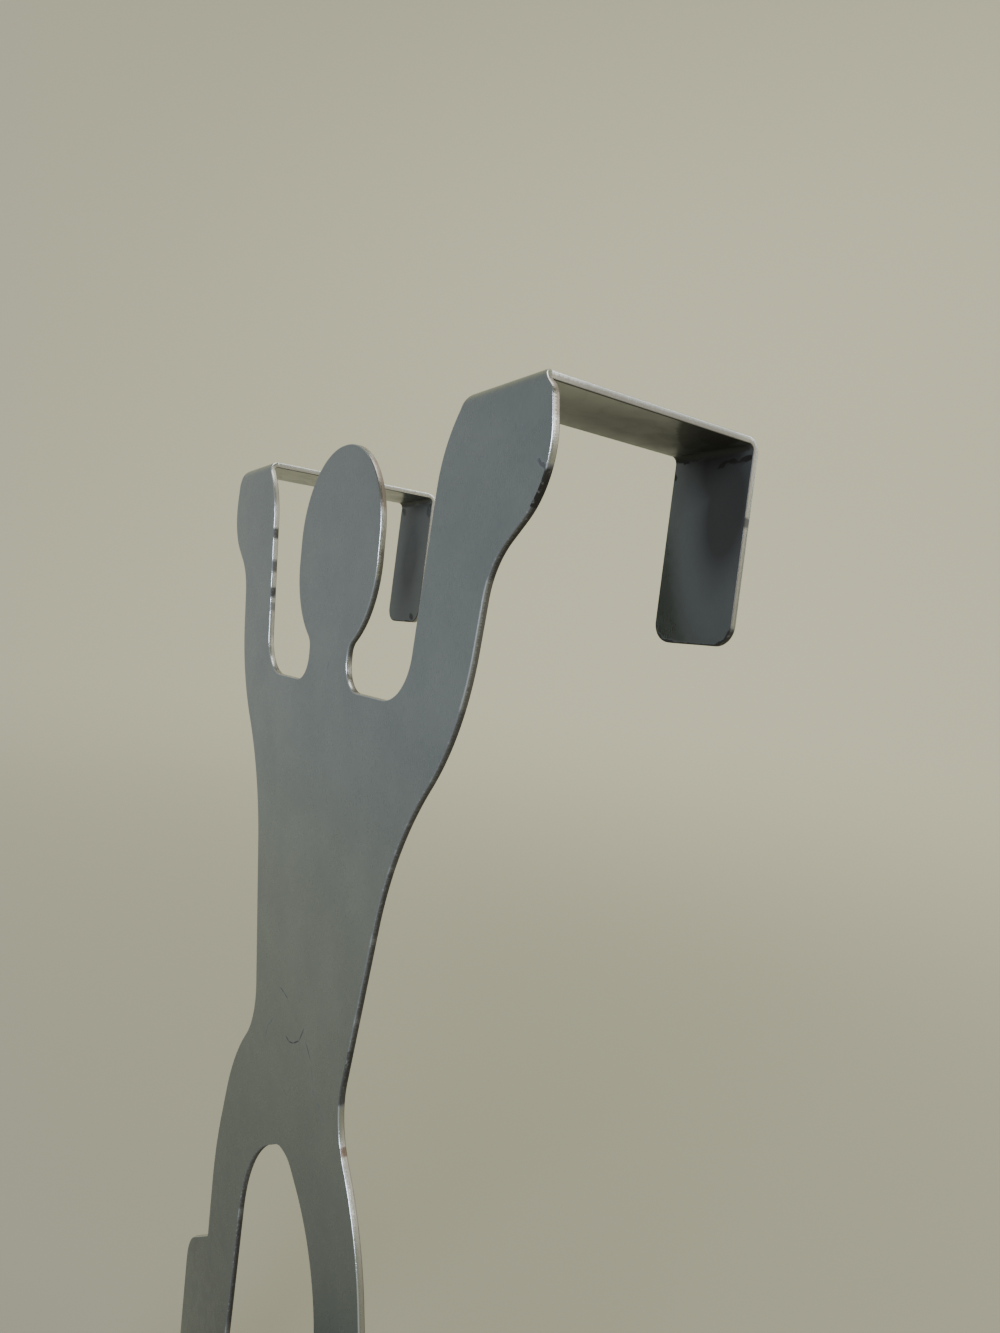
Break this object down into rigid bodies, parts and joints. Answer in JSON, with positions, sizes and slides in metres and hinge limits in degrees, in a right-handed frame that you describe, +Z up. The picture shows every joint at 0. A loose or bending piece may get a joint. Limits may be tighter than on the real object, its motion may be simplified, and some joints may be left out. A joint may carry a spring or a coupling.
{
  "type": "over door hook",
  "caption": "Folded steel sheet in the outline of a figure, with hands that hook over a door's top edge and feet that form coat hooks.",
  "frame": {"origin": "middle of the door's top front edge: on the mirror plane, at the height of the straps' undersides, on the sheet's back face", "axes": "+X to the right for someone who faces the hook on its door, +Y into the door, +Z up"},
  "size_m": [0.1272, 0.0712, 0.2312],
  "materials": {
    "stainless_steel": "satin stainless steel sheet with a fine grain, its cut edges lightly rounded"
  },
  "bodies": {
    "root": {"door_hook": "stainless_steel"}
  },
  "joints": []
}
